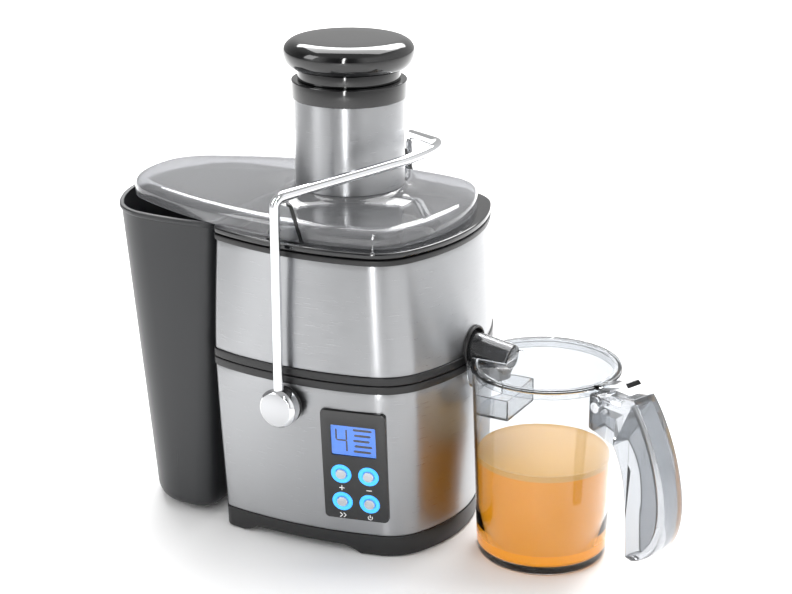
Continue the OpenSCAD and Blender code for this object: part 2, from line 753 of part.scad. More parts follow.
module pusher_cap() {
  color(gloss_black) row() rotate_extrude() polygon(cap_profile());
}

// ---- Bail ----
bend_r = 9;
bar_sides = 14;
// Side view of the bow's plane: x runs right from the pivot, and the height follows the rise
function bow_point(p) = [pivot_x + p.x, p.y, bow_z + p.x * tan(bow_rise)];
nose_c = 68 - pivot_x - nose_r;          // nose centre, right of the pivot
leg_to_nose = norm([nose_c, leg_y]);
tangent_turn = acos(nose_r / leg_to_nose);
leg_dir = atan2(-leg_y, -nose_c);        // direction from the nose centre to the front leg
touch_a = leg_dir + tangent_turn;        // where the straight arm meets the nose
nose_points = [for (i = [0:12]) let (a = touch_a * (1 - i / 12)) bow_point([nose_c, 0] + nose_r * dir(a))];
bend_corner = bow_point([0, -leg_y]);
arm_dir = (nose_points[0] - bend_corner) / norm(nose_points[0] - bend_corner);
up = [0, 0, 1];
bend_angle = acos(arm_dir * up);
bend_cut = bend_r * tan(bend_angle / 2);
bend_side = (arm_dir - up * (arm_dir * up)) / norm(arm_dir - up * (arm_dir * up));
bend_centre = bend_corner - up * bend_cut + bend_side * bend_r;
bend_points = [for (i = [0:6]) let (a = bend_angle * i / 6)
  bend_centre - bend_side * bend_r * cos(a) + up * bend_r * sin(a)];
half_bar = concat([[pivot_x, -leg_y, pivot_z + shaft_r + 2]], bend_points, nose_points);
bar_path = concat(half_bar,
  [for (i = [len(half_bar) - 2:-1:0]) [half_bar[i].x, -half_bar[i].y, half_bar[i].z]]);
function unit(v) = v / norm(v);
function tangent(path, i) =
  unit(path[min(i + 1, len(path) - 1)] - path[max(i - 1, 0)]);
// Each ring's sideways direction is carried from the one before, so that the bar doesn't twist
function carried(path) = [for (i = 0, u = [1, 0, 0]; i < len(path);
  i = i + 1, u = i < len(path) ? unit(u - tangent(path, i) * (u * tangent(path, i))) : u) u];
module swept_bar(path, r) {
  sides = carried(path);
  skin([for (i = [0:len(path) - 1])
    let (t = tangent(path, i), u = unit(sides[i] - t * (sides[i] * t)), v = cross(t, u))
    [for (a = [0:360 / bar_sides:359]) path[i] + r * (cos(a) * u + sin(a) * v)]]);
}
module bail() {
  color(chrome) row() swept_bar(bar_path, bar_r);
}
boss_out = leg_y - 5.4;           // outer face of the black bosses
side_y = -body_point(270, pivot_z).y;      // the jacket's side at the pivot
boss_in = side_y - 7.77;                   // inner end of the black bosses
knob_out = leg_y + 6;             // outer face of the knobs
pin_r = 4;
module pivot_bosses() {
  color(black) row() on_both_sides() difference() {
    union() {
      rod_y(pivot_x, pivot_z, boss_hole_r, -boss_out, -boss_in);
      rod_y(pivot_x, pivot_z, boss_r, -boss_out, -boss_out + 2.8);
    }
    rod_y(pivot_x, pivot_z, pin_r, -150, 0);
  }
}
module pivot_pins() {
  color(chrome) row() on_both_sides() {
    rod_y(pivot_x, pivot_z, pin_r, -knob_out + 4, -boss_in + 4);
    rod_y(pivot_x, pivot_z, 7, -boss_in, -boss_in + 4);
  }
}
module pivot_knobs() {
  color(steel) row() on_both_sides() difference() {
    rod_y(pivot_x, pivot_z, knob_r, -knob_out, -boss_out - 0.4);
    rod_y(pivot_x, pivot_z, pin_r + press_gap, -knob_out + 3.8, 0);
    translate([pivot_x, -leg_y, pivot_z + shaft_r + 2]) cylinder(r = bar_r, h = 40);
  }
}

// ---- Pulp bin ----
bin_foot_right = bin_right + 11;
bin_foot_reach = bin_reach - 21;
bin_foot_w = bin_half_w - 3;
bin_apex = -(bin_right + 40);
bin_rim_outline = [bin_apex, quarter(-bin_right - bin_apex, bin_half_w, flat, 10, 300),
  quarter(bin_reach + bin_apex, bin_half_w, 104, 44, 260)];
bin_foot_outline = [bin_apex, quarter(-bin_foot_right - bin_apex, bin_foot_w, flat, 16, 300),
  quarter(bin_foot_reach + bin_apex, bin_foot_w, 90, 38, 260)];
function bin_ring(z, d) = let (k = (bin_top - z) / (bin_top - bin_lift))
  [for (t = [0:step:359])
    let (p = mix(outline_point(bin_rim_outline, t), outline_point(bin_foot_outline, t), k) + d * dir(t))
    [p.x, p.y, z]];
bin_round = 7;
module pulp_bin() {
  inner = -bin_wall;
  color("#26272a") row() skin(concat(
    [for (a = [90:-30:0]) bin_ring(bin_lift + bin_round * (1 - sin(a)), -bin_round * (1 - cos(a)))],
    [bin_ring(bin_top - 4, 0), bin_ring(bin_top - 4, bead), bin_ring(bin_top, bead),
     bin_ring(bin_top, inner),
     bin_ring(bin_lift + bin_wall + 6, inner), bin_ring(bin_lift + bin_wall, inner - 6)]));
}

// ---- Jug ----
lip_r = spout_r + 4.6;            // outer radius of the jug's pouring lip
lip_in = lip_r - jug_wall;
lip_z = outlet_z + 7;             // centre of the lip's round floor
lip_out = jug_left - collar_out - 0.6;   // how far the lip reaches out of the jug
jug_floor = 3.5;
module jug_solid(d) {
  rotate_extrude() polygon(concat(
    [[0, d], [jug_base_r - 5, d]],
    [for (a = [-75:15:0]) [jug_base_r - 5 + (5 - d) * cos(a), 5 + (5 - d) * sin(a)]],
    [[jug_rim_r - d, jug_h + (d > 0 ? 1 : 0)], [0, jug_h + (d > 0 ? 1 : 0)]]));
}
module lip_shape(r) {
  rotate([90, 0, 90]) linear_extrude(lip_out + 8) union() {
    circle(r = r);
    translate([-r, 0]) square([2 * r, 80]);
  }
}
module at_jug() {
  translate([jug_x, 0, 0]) children();
}
module jug_cup() {
  color(clear) row() difference() {
    union() {
      at_jug() jug_solid(0);
      at_jug() tube(jug_rim_r + 1.1, jug_rim_r - 1, jug_h - 2.5, jug_h);
      intersection() {
        translate([jug_left - lip_out, 0, lip_z]) lip_shape(lip_r);
        translate([0, -50, 0]) cube([jug_x, 100, jug_h]);
      }
    }
    at_jug() jug_solid(jug_wall);
    translate([jug_left - lip_out - 1, 0, lip_z]) lip_shape(lip_in);
  }
}
function bezier(p, t) =
  pow(1 - t, 3) * p[0] + 3 * t * pow(1 - t, 2) * p[1] + 3 * t * t * (1 - t) * p[2] + pow(t, 3) * p[3];
palm_curve = [[handle_reach - 34.5, jug_h - 120], [handle_reach - 37, jug_h - 92],
  [handle_reach - 35, jug_h - 60], [handle_reach - 51, jug_h - 37]];
root_low = jug_h - 34;
root_top = jug_h - 3;
handle_outline = concat(
  [[jug_base_r, root_top], [84, root_top], [88, jug_h + 4]],
  [for (i = [0:12]) bezier(back_curve, i / 12)],
  [for (i = [0:12]) bezier(palm_curve, i / 12)],
  [[jug_base_r, root_low + 4]]);
module handle_body(inset) {
  offset(r = 2, $fn = 24) offset(delta = -2 - inset) polygon(handle_outline);
}
module at_handle() {
  at_jug() rotate([0, 0, -handle_turn]) rotate([90, 0, 0]) children();
}
rivet = [62.5, jug_h - 11];
module jug_handle() {
  color(clear) row() difference() {
    at_handle() difference() {
      translate([0, 0, -handle_w / 2]) linear_extrude(handle_w) handle_body(0);
      translate([-4, -3, -handle_w / 2 + 3]) linear_extrude(handle_w - 6) intersection() {
        handle_body(3);
        translate([80, 0]) square([90, jug_h + 8]);
      }
      translate([rivet.x, rivet.y, -50]) cylinder(r = 2.5, h = 100);
    }
    at_jug() jug_solid(0);
    at_jug() tube(jug_rim_r + 1.1, jug_rim_r - 1, jug_h - 2.5, jug_h);
  }
}
module handle_rivet() {
  color(chrome) row() at_handle() translate([rivet.x, rivet.y, -handle_w / 2 - 1]) {
    cylinder(r = 2.5, h = handle_w + 2);
    for (z = [-1, handle_w + 2]) translate([0, 0, z]) cylinder(r = 4, h = 1);
  }
}
shelf_z = jug_h - 40;
shelf_x = jug_left + 6;
shelf_w = 24;
module froth_separator() {
  color(clear) row() difference() {
    intersection() {
      at_jug() jug_solid(jug_wall + 0.1);
      translate([shelf_x - 10, -shelf_w, shelf_z]) cube([40, 2 * shelf_w, 16]);
    }
    translate([shelf_x - 20, -shelf_w + 1.6, shelf_z + 1.6]) cube([48.4, 2 * shelf_w - 3.2, 20]);
  }
}
lid_t = 2;
lid_under = jug_h + 0.2;
tab_h = 13;
module jug_lid() {
  color(clear) row() {
    difference() {
      union() {
        at_jug() translate([0, 0, lid_under]) cylinder(r = jug_rim_r + 0.6, h = lid_t);
        at_jug() tube(jug_rim_r - jug_wall - 0.8, jug_rim_r - jug_wall - 2.4, jug_h - 6, lid_under + tiny);
      }
      translate([jug_left - 20, -spout_r - 2.5, 0]) cube([spout_tip - jug_left + 22.5, 2 * spout_r + 5, 300]);
    }
    at_handle() translate([0, 0, -7]) linear_extrude(14)
      polygon([[52, lid_under + 1], [57, lid_under + lid_t + 1], [86, lid_under + tab_h],
        [89, lid_under + tab_h - 2.5], [62, lid_under + 0.5], [58, lid_under]]);
  }
}

base_tray();
rubber_feet();
lower_jacket();
seam_trim_lower();
seam_trim_upper();
upper_jacket();
motor_deck();
panel_bezel();
lcd_window();
lcd_module();
button_light_rings();
tact_switches();
control_board();
button_plus();
button_minus();
button_turbo();
button_power();
motor_frame();
motor_stator();
motor_bearings();
brush_holders();
rubber_mounts();
armature();
commutator();
motor_shaft();
cooling_fan();
drive_coupling();
shaft_seal();
safety_switch();
cord_gland();
housing_screws();
pivot_bosses();
pivot_pins();
pivot_knobs();
bail();
juice_bowl();
bowl_rim();
lid_seal();
spout_collar();
spout();
basket_hub();
grater_disc();
filter_cone();
basket_rim();
lid_cover();
chute_skirt();
bail_catches();
chute_tube();
chute_sleeve();
chute_collar();
pusher_body();
pusher_cap();
pulp_bin();
jug_cup();
jug_handle();
handle_rivet();
froth_separator();
jug_lid();
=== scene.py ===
import json
import math

import bmesh
import bpy
from mathutils import Matrix, Vector


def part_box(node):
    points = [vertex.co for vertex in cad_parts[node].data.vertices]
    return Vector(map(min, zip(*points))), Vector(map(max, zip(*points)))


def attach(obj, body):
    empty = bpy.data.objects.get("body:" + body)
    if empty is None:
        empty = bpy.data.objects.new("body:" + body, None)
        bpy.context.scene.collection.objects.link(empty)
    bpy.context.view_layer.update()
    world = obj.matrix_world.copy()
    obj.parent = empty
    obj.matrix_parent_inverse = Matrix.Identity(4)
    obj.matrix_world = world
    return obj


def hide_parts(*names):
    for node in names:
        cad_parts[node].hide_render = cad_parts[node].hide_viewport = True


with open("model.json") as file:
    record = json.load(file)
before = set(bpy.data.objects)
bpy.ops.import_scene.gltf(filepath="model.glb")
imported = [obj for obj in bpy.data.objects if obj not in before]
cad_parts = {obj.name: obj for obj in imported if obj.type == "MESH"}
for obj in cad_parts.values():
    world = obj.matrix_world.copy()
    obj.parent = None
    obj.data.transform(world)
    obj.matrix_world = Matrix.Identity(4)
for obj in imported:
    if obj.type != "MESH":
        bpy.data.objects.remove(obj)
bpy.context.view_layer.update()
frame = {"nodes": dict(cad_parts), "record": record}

# Lengths are in millimetres from the chute's axis; at() moves them into the row frame, in metres.
low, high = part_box("chute_sleeve")
SHIFT = (low.x + high.x) * 500

SKIRT, SEAM, JACKET_TOP = 18.0, 148.0, 241.0
FLANGE_LOW, FLANGE_TOP = 246.4, 251.0
CHUTE_TOP, COLLAR_TOP = 343.0, 355.0
TUBE_R, SLEEVE_R, CHUTE_R, COLLAR_R = 40.5, 42.0, 37.5, 44.0
CAP_LOW, CAP_EDGE = 364.0, 376.1
PIVOT = (-3.0, 125.0)
LEG_Y, BAR_R = 107.5, 3.9
BOW_Z, BOW_RISE, NOSE_R, BEND_R = 287.5, 15.0, 62.0, 9.0
JUG_X, JUG_H, RIM_R, BASE_R, JUG_WALL = 167.0, 152.0, 55.9, 50.0, 2.2
SPOUT_X, SPOUT_Z, SPOUT_FALL, SPOUT_R, SPOUT_TIP = 89.0, 159.0, 10.0, 12.97, 139.1
COLLAR_Z, COLLAR_HOLE_R = 156.2, 17.5
JUICE_TOP = 79.0


def at(p):
    return Vector(((p[0] + SHIFT) / 1000, p[1] / 1000, p[2] / 1000))


def cosd(a):
    return math.cos(math.radians(a))


def sind(a):
    return math.sin(math.radians(a))


def steps(a, b, n):
    """n + 1 evenly spaced values from a to b."""
    return [a + (b - a) * i / n for i in range(n + 1)]


# ---- Colours and materials ----


def linear(code):
    """An sRGB hex colour as the linear RGBA that shaders use."""
    parts = [int(code[i : i + 2], 16) / 255 for i in (1, 3, 5)]
    return [c / 12.92 if c <= 0.04045 else ((c + 0.055) / 1.055) ** 2.4 for c in parts] + [1.0]


def add(tree, kind, inputs=None, **settings):
    """Adds one node; inputs maps a socket to a value, or to another node's output socket."""
    node = tree.nodes.new(kind)
    for key, value in settings.items():
        setattr(node, key, value)
    for key, value in (inputs or {}).items():
        if isinstance(value, bpy.types.NodeSocket):
            tree.links.new(value, node.inputs[key])
        else:
            node.inputs[key].default_value = value
    return node


def finish(name, colour, rough, **extra):
    """A plain Principled material."""
    m = bpy.data.materials.new(name)
    m.use_nodes = True
    shader = m.node_tree.nodes["Principled BSDF"]
    shader.inputs["Base Color"].default_value = linear(colour)
    shader.inputs["Roughness"].default_value = rough
    for key, value in extra.items():
        shader.inputs[key.replace("_", " ")].default_value = value
    return m


def grain(m, size, depth, strength=0.3, stretch=(1, 1, 1)):
    """A fine bump, its size and depth in millimetres; stretch scales the pattern along X, Y and Z."""
    tree = m.node_tree
    shader = tree.nodes["Principled BSDF"]
    place = add(tree, "ShaderNodeTexCoord")
    scaled = add(tree, "ShaderNodeVectorMath", {0: place.outputs["Object"], 1: stretch}, operation="MULTIPLY")
    noise = add(tree, "ShaderNodeTexNoise",
                {"Vector": scaled.outputs[0], "Scale": 1000 / size, "Detail": 2.0})
    bump = add(tree, "ShaderNodeBump",
               {"Height": noise.outputs["Fac"], "Distance": depth / 1000, "Strength": strength})
    tree.links.new(bump.outputs["Normal"], shader.inputs["Normal"])
    return noise


def brushed(name, colour, rough, line):
    """Metal brushed level, so that highlights stretch upright. line is the width of a brush line in mm."""
    m = finish(name, colour, rough, Metallic=1.0, Anisotropic=0.9)
    tree = m.node_tree
    shader = tree.nodes["Principled BSDF"]
    noise = grain(m, line, 0.02, 0.35, stretch=(0.02, 0.02, 1))
    noise.inputs["Detail"].default_value = 5.0
    tone = add(tree, "ShaderNodeMapRange", {"Value": noise.outputs["Fac"], "From Min": 0.3, "From Max": 0.7,
               "To Min": rough - 0.06, "To Max": rough + 0.08})
    tree.links.new(tone.outputs["Result"], shader.inputs["Roughness"])
    across = add(tree, "ShaderNodeCombineXYZ", {"Z": 1.0})
    tree.links.new(across.outputs[0], shader.inputs["Tangent"])
    return m


def clear_plastic(name, tint, rough, haze=0.0):
    """Clear plastic; haze is the share of light that scatters in it instead of passing through."""
    return finish(name, tint, rough, Transmission_Weight=1.0 - haze, IOR=1.5)


def glow(name, colour, strength):
    m = finish(name, colour, 0.3, Emission_Strength=strength)
    m.node_tree.nodes["Principled BSDF"].inputs["Emission Color"].default_value = linear(colour)
    return m


# horizontally brushed stainless steel, on the jackets and the chute sleeve
STEEL = brushed("brushed_stainless_steel", "#a6a7a9", 0.33, 0.35)
# satin turned steel, on the knobs
KNOB = finish("satin_steel", "#bfc0c2", 0.3, Metallic=1.0)
# polished chrome plate, on the bail and the pins
CHROME = finish("polished_chrome", "#e3e4e6", 0.06, Metallic=1.0)
# stamped stainless steel, on the strainer and the grater
SIEVE = finish("stamped_stainless_steel", "#b8b9bb", 0.32, Metallic=1.0)
# satin black moulded ABS, on the base and the trim
BLACK = finish("satin_black_abs", "#161617", 0.38)
# gloss black moulded ABS, on the pusher, the collar and the panel
GLOSS = finish("gloss_black_abs", "#0c0c0d", 0.1, Coat_Weight=0.5, Coat_Roughness=0.05)
# matte charcoal moulded ABS with a fine spark-eroded grain, on the pulp bin
CHARCOAL = finish("matte_charcoal_abs", "#232426", 0.42)
grain(CHARCOAL, 0.5, 0.02, 0.25)
# dark smoke SAN seen on edge, on the lid's flange
SMOKE_EDGE = finish("dark_smoke_san_edge", "#111113", 0.12, Coat_Weight=0.4)
# smoke-tinted clear SAN, on the lid and the spout
SMOKE = clear_plastic("smoke_clear_san", "#d2d3d6", 0.02, 0.16)
# darker smoke-tinted SAN, on the feed tube
SMOKE_DARK = clear_plastic("dark_smoke_clear_san", "#7d7e81", 0.04, 0.1)
# clear SAN with a light grey tint, on the jug
CLEAR = clear_plastic("clear_grey_san", "#e2e4e6", 0.02)
# the same grey SAN in thick section, on the jug's handle
CLEAR_THICK = clear_plastic("grey_san_thick", "#b9bcc0", 0.05, 0.1)
# matte black rubber, on the feet and the seals
RUBBER = finish("matte_black_rubber", "#141414", 0.75)
# off-white nylon, on the basket and the fan
NYLON = finish("off_white_nylon", "#d8d8d2", 0.45)
# blue backlit display
LCD = glow("blue_backlit_display", "#3f7fe0", 0.55)
# dark display segments
SEGMENT = finish("dark_display_segments", "#07122e", 0.4)
# blue translucent light ring
RING = glow("blue_light_ring", "#3b9cf0", 1.1)
# satin silver paint, on the buttons
SILVER = finish("satin_silver_paint", "#c6cacf", 0.3, Metallic=0.8)
# white pad printing
PRINT = finish("white_print", "#e6e6e6", 0.5)
# clear display window
WINDOW = clear_plastic("display_window", "#ffffff", 0.02)
# orange juice, with a painted glow: its emission stands in for the light that scatters inside it
JUICE_WITH_PAINTED_GLOW = glow("orange_juice_painted_glow", "#f5a00c", 0.5)
# pale froth on the juice, with a painted glow: its emission stands in for the light that scatters inside it
FROTH_WITH_PAINTED_GLOW = glow("orange_froth_painted_glow", "#f3ba5c", 0.3)
# die-cast aluminium, motor steel, copper, green circuit board and amber nylon, inside
CAST = finish("die_cast_aluminium", "#a6a8aa", 0.45, Metallic=1.0)
IRON = finish("laminated_steel", "#77797c", 0.5, Metallic=1.0)
COPPER = finish("enamelled_copper", "#a8623a", 0.4, Metallic=1.0)
BOARD = finish("green_solder_mask", "#1b5a33", 0.45)
AMBER = finish("amber_nylon", "#c98a26", 0.4)

SLOT_FINISH = {
    "black_plastic": BLACK, "bin_plastic": CHARCOAL, "gloss_black": GLOSS, "grey_plastic": BLACK,
    "white_plastic": NYLON, "rubber": RUBBER, "brushed_steel": STEEL, "sieve_steel": SIEVE, "chrome": CHROME,
    "aluminium": CAST, "iron": IRON, "copper": COPPER, "smoke": SMOKE, "clear": CLEAR, "lcd_glass": WINDOW,
    "lcd_blue": LCD, "light_blue": RING, "button_silver": SILVER, "pcb": BOARD, "switch_amber": AMBER,
}


def dress_frame():
    """Every CAD node gets its slot's finish and smooth shading between shallow edges."""
    slots = {s["node"]: s["material_slot"] for s in frame["record"]["subparts"]}
    for name, o in frame["nodes"].items():
        o.data.materials.clear()
        o.data.materials.append(SLOT_FINISH[slots[name]])
        o.data.shade_smooth()
        o.data.set_sharp_from_angle(angle=math.radians(28))


# ---- Meshes ----


def build(name, verts, faces, material, body, stands_for=(), sharp=35, slot=None, merge=True):
    """A mesh piece from points in millimetres, with outward faces, riding on a body."""
    mesh = bpy.data.meshes.new(name)
    mesh.from_pydata([at(v) for v in verts], [], faces)
    b = bmesh.new()
    b.from_mesh(mesh)
    if merge:
        bmesh.ops.remove_doubles(b, verts=b.verts, dist=2e-6)
    bmesh.ops.recalc_face_normals(b, faces=b.faces)
    b.to_mesh(mesh)
    b.free()
    mesh.materials.append(material)
    mesh.shade_smooth()
    mesh.set_sharp_from_angle(angle=math.radians(sharp))
    o = bpy.data.objects.new(name, mesh)
    bpy.context.scene.collection.objects.link(o)
    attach(o, body)
    if stands_for:
        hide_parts(*stands_for)
    return o


def loft(rings, closed=False):
    """Points and faces of a skin over rings of equal length; an open loft gets end faces."""
    n, m = len(rings[0]), len(rings)
    verts = [p for r in rings for p in r]
    faces = []
    for i in range(m if closed else m - 1):
        k = (i + 1) % m
        for j in range(n):
            l = (j + 1) % n
            faces.append((i * n + j, i * n + l, k * n + l, k * n + j))
    if not closed:
        faces.append(tuple(range(n)))
        faces.append(tuple((m - 1) * n + j for j in reversed(range(n))))
    return verts, faces


def lathe(profile, steps=128, centre=(0, 0), place=None, closed=True):
    """Turns a profile of (radius, height) points about an upright axis through centre."""
    rings = []
    for r, z in profile:
        ring = [(r * cosd(360 * i / steps), r * sind(360 * i / steps), z) for i in range(steps)]
        rings.append([place(p) if place else (p[0] + centre[0], p[1] + centre[1], p[2]) for p in ring])
    return loft(rings, closed)


def arc(cx, cy, r, a0, a1, n=6):
    """Points on a circle's arc, for profiles."""
    return [(cx + r * cosd(a), cy + r * sind(a)) for a in steps(a0, a1, n)]


def rounded(corners, r, n=4):
    """A closed profile with each corner rounded by r, or by the corner's own third value."""
    out = []
    count = len(corners)
    for i in range(count):
        p = Vector(corners[i][:2])
        size = corners[i][2] if len(corners[i]) > 2 else r
        a = (Vector(corners[i - 1][:2]) - p)
        b = (Vector(corners[(i + 1) % count][:2]) - p)
        cut = min(size, a.length * 0.45, b.length * 0.45)
        if cut < 1e-4:
            out.append(tuple(p))
            continue
        s, e = p + a.normalized() * cut, p + b.normalized() * cut
        for k in range(n + 1):
            t = k / n
            q = s * (1 - t) ** 2 + p * 2 * t * (1 - t) + e * t * t
            out.append((q.x, q.y))
    return out


def tube_along(path, r, sides=32):
    """A round bar along a path, without twist."""
    pts = [Vector(p) for p in path]
    rings = []
    side = Vector((1, 0, 0))
    for i, p in enumerate(pts):
        t = (pts[min(i + 1, len(pts) - 1)] - pts[max(i - 1, 0)]).normalized()
        side = (side - t * side.dot(t)).normalized()
        up = t.cross(side)
        turns = [360 * k / sides for k in range(sides)]
        rings.append([tuple(p + r * (cosd(a) * side + sind(a) * up)) for a in turns])
    return loft(rings)


def cutter(name, verts, faces):
    mesh = bpy.data.meshes.new(name)
    mesh.from_pydata([at(v) for v in verts], [], faces)
    b = bmesh.new()
    b.from_mesh(mesh)
    bmesh.ops.remove_doubles(b, verts=b.verts, dist=2e-6)
    bmesh.ops.recalc_face_normals(b, faces=b.faces)
    b.to_mesh(mesh)
    b.free()
    o = bpy.data.objects.new(name, mesh)
    bpy.context.scene.collection.objects.link(o)
    return o


def carve(o, tools, operation="DIFFERENCE", sharp=35):
    """Cuts the tools out of o, or joins them to it, and removes them."""
    for tool in tools:
        m = o.modifiers.new("cut", "BOOLEAN")
        m.object = tool
        m.operation = operation
        m.solver = "EXACT"
        graph = bpy.context.evaluated_depsgraph_get()
        mesh = bpy.data.meshes.new_from_object(o.evaluated_get(graph))
        o.modifiers.clear()
        o.data = mesh
        bpy.data.objects.remove(tool, do_unlink=True)
    o.data.shade_smooth()
    o.data.set_sharp_from_angle(angle=math.radians(sharp))
    return o


def box_mesh(low_corner, high_corner):
    (x0, y0, z0), (x1, y1, z1) = low_corner, high_corner
    verts = [(x, y, z) for z in (z0, z1) for x, y in ((x0, y0), (x1, y0), (x1, y1), (x0, y1))]
    faces = [(0, 1, 2, 3), (4, 5, 6, 7), (0, 1, 5, 4), (1, 2, 6, 5), (2, 3, 7, 6), (3, 0, 4, 7)]
    return verts, faces


# ---- The housing's outline: tangent arcs that blend from foot to top ----


def corner(c1, r1, c2, r2):
    """The centre that lies r1 from c1 and r2 from c2, on their left."""
    v = c2 - c1
    d = v.length
    u = v / d
    p = (r1 * r1 - r2 * r2 + d * d) / (2 * d)
    return c1 + p * u + math.sqrt(r1 * r1 - p * p) * Vector((-u.y, u.x))


def quarter(a, b, r_end, r_corner, r_side):
    """A quarter of an outline with reach a and half width b: three arcs and the angles between them."""
    c1, c2 = Vector((a - r_end, 0)), Vector((0, b - r_side))
    cc = corner(c1, r_end - r_corner, c2, r_side - r_corner)
    e, s = cc - c1, cc - c2
    turns = [math.degrees(math.atan2(v.y, v.x)) for v in (e, s)]
    return ((c1, r_end), (cc, r_corner), (c2, r_side), *turns)


def quarter_point(q, t):
    c, r = q[0] if t < q[3] else q[1] if t < q[4] else q[2]
    return c + r * Vector((cosd(t), sind(t)))


def outline_point(o, t):
    """The outline's point whose outward direction is t degrees from +X."""
    u = 360 - t if t > 180 else t
    p = quarter_point(o[1], u) if u <= 90 else quarter_point(o[2], 180 - u)
    return Vector((o[0] + (p.x if u <= 90 else -p.x), (-1 if t > 180 else 1) * p.y))


FLAT = 3000
TURNS = [i * 1.25 for i in range(288)]
TOP = (5, quarter(96, 96, 160, 39, 232), quarter(78, 96, FLAT, 8, 232))
FOOT = (-20, quarter(120.5, 84, 116, 37, 317), quarter(53, 84, FLAT, 8, 317))
DOME = (5, quarter(88, 88, 150, 32, 224), quarter(191, 88, 92, 46, 370))
BIN_RIM = (-117.5, quarter(40, 80, FLAT, 10, 300), quarter(74.5, 80, 104, 44, 260))
BIN_FOOT = (-117.5, quarter(29, 77, FLAT, 16, 300), quarter(53.5, 77, 90, 38, 260))


def swell(z):
    """How far the housing swells out at a height; it is widest at the split."""
    t = (z - SEAM) / (JACKET_TOP - SEAM) if z > SEAM else (SEAM - z) / (SEAM - SKIRT)
    return 6.5 * (1 - min(t, 1) ** 1.5)


def proud(t):
    """The flat left side neither swells nor takes a band's full width."""
    return 1 if t <= 90 or t >= 270 else abs(sind(t))


def body_point(t, z, d=0.0):
    k = min((JACKET_TOP - min(z, JACKET_TOP)) / (JACKET_TOP - SKIRT), 1)
    p = outline_point(TOP, t) * (1 - k) + outline_point(FOOT, t) * k
    out = swell(min(max(z, SKIRT), JACKET_TOP)) * proud(t) + (d * proud(t) if d > 0 else d)
    return p + out * Vector((cosd(t), sind(t)))


def body_ring(z, d=0.0):
    return [(*body_point(t, z, d), z) for t in TURNS]


def outline_ring(o, z, d=0.0):
    return [(*(outline_point(o, t) + d * Vector((cosd(t), sind(t)))), z) for t in TURNS]


# ---- Control panel frame: X across, Y inwards, Z up ----

PANEL_DIR, PANEL_Z, PANEL_W, PANEL_H = 282, 78.5, 51.0, 95.0
PANEL_AT = body_point(PANEL_DIR, PANEL_Z)
PANEL_RUN = body_point(PANEL_DIR, PANEL_Z + PANEL_H / 2) - body_point(PANEL_DIR, PANEL_Z - PANEL_H / 2)
LEAN = math.degrees(math.atan(PANEL_RUN.dot(Vector((cosd(PANEL_DIR), sind(PANEL_DIR)))) / PANEL_H))
PANEL = Matrix.Rotation(math.radians(PANEL_DIR - 270), 3, "Z") @ Matrix.Rotation(math.radians(LEAN), 3, "X")
FACE = -1.2     # the bezel's face, outside the jacket
BUTTONS = [((i % 2 - 0.5) * 21.5, -7.3 - (i // 2) * 24.3) for i in range(4)]
LCD_Z = 22.0


def on_panel(p):
    q = PANEL @ Vector(p)
    return (q.x + PANEL_AT.x, q.y + PANEL_AT.y, q.z + PANEL_Z)


def rounded_rect(w, h, r, n=6):
    x, z = w / 2 - r, h / 2 - r
    out = []
    for cx, cz, a in ((x, z, 0), (-x, z, 90), (-x, -z, 180), (x, -z, 270)):
        out += arc(cx, cz, r, a, a + 90, n)
    return out


def plate(w, h, r, levels, centre=(0, 0)):
    """A rounded plate on the panel; levels are (depth, inset) pairs."""
    rings = []
    for y, inset in levels:
        shape = rounded_rect(w - 2 * inset, h - 2 * inset, max(r - inset, 0.2))
        rings.append([on_panel((x + centre[0], y, z + centre[1])) for x, z in shape])
    return loft(rings)


# ---- Housing pieces ----


def spout_axis(p):
    """From the spout's own frame, along +Z, to the machine."""
    c, s = cosd(90 + SPOUT_FALL), sind(90 + SPOUT_FALL)
    return (SPOUT_X + p[0] * c + p[2] * s, p[1], SPOUT_Z - p[0] * s + p[2] * c)


def along_x(p):
    """From a frame whose +Z runs level out of the machine, round the spout's collar."""
    return (p[2], p[1], COLLAR_Z + p[0])


def spout_cut():
    profile = [(0, 77), (COLLAR_HOLE_R, 77), (COLLAR_HOLE_R, 137), (0, 137)]
    return cutter("spout_cut", *lathe(profile, 96, place=along_x, closed=False))


def jackets():
    levels = [(z, 0.0) for z in steps(19.2, 140.6, 24)]
    rings = [body_ring(18.1, -0.6), body_ring(18.5, -0.15)] + [body_ring(z, d) for z, d in levels]
    rings += [body_ring(141.0, -0.2), body_ring(141.1, -1.0), body_ring(80, -1.0), body_ring(18.1, -1.0)]
    o = build("lower_jacket_skin", *loft(rings, True), STEEL, "housing", ["lower_jacket"],
              slot="brushed_steel")
    boss = cutter("boss_cut", *lathe([(0, -140), (12.1, -140), (12.1, 140), (0, 140)], 64,
                  place=lambda p: (PIVOT[0] + p[0], p[2], PIVOT[1] + p[1]), closed=False))
    window = cutter("panel_cut", *plate(PANEL_W, PANEL_H, 4.0, [(-8, 0), (12, 0)]))
    carve(o, [boss, window, spout_cut()])
    rings = [body_ring(154.9, -0.6), body_ring(155.1, -0.1)] + [body_ring(z) for z in steps(155.8, 240.2, 18)]
    rings += [body_ring(240.9, -0.2), body_ring(240.9, -1.0), body_ring(200, -1.0), body_ring(154.9, -1.0)]
    o = build("upper_jacket_skin", *loft(rings, True), STEEL, "housing", ["upper_jacket"],
              slot="brushed_steel")
    carve(o, [spout_cut()])


def band(name, z0, z1, d_out, d_in, stands_for, material, slot, cut=False, r=1.0):
    """A moulded band round the housing, with rounded outer edges."""
    profile = rounded([(z0, d_in, 0), (z0, d_out), (z1, d_out), (z1, d_in, 0)], r, 5)
    rings = [body_ring(z, d) for z, d in profile]
    o = build(name, *loft(rings, True), material, "housing", stands_for, slot=slot)
    if cut:
        carve(o, [spout_cut()])
    return o


def arch_lift(x):
    """Height of the skirt's lower edge: 1 mm at the feet, 7 mm over the arch."""
    edge = min(max((x + 50) / 7, 0), 1) * min(max((46 - x) / 7, 0), 1)
    edge = edge * edge * (3 - 2 * edge)
    return 1.0 + 6.0 * edge


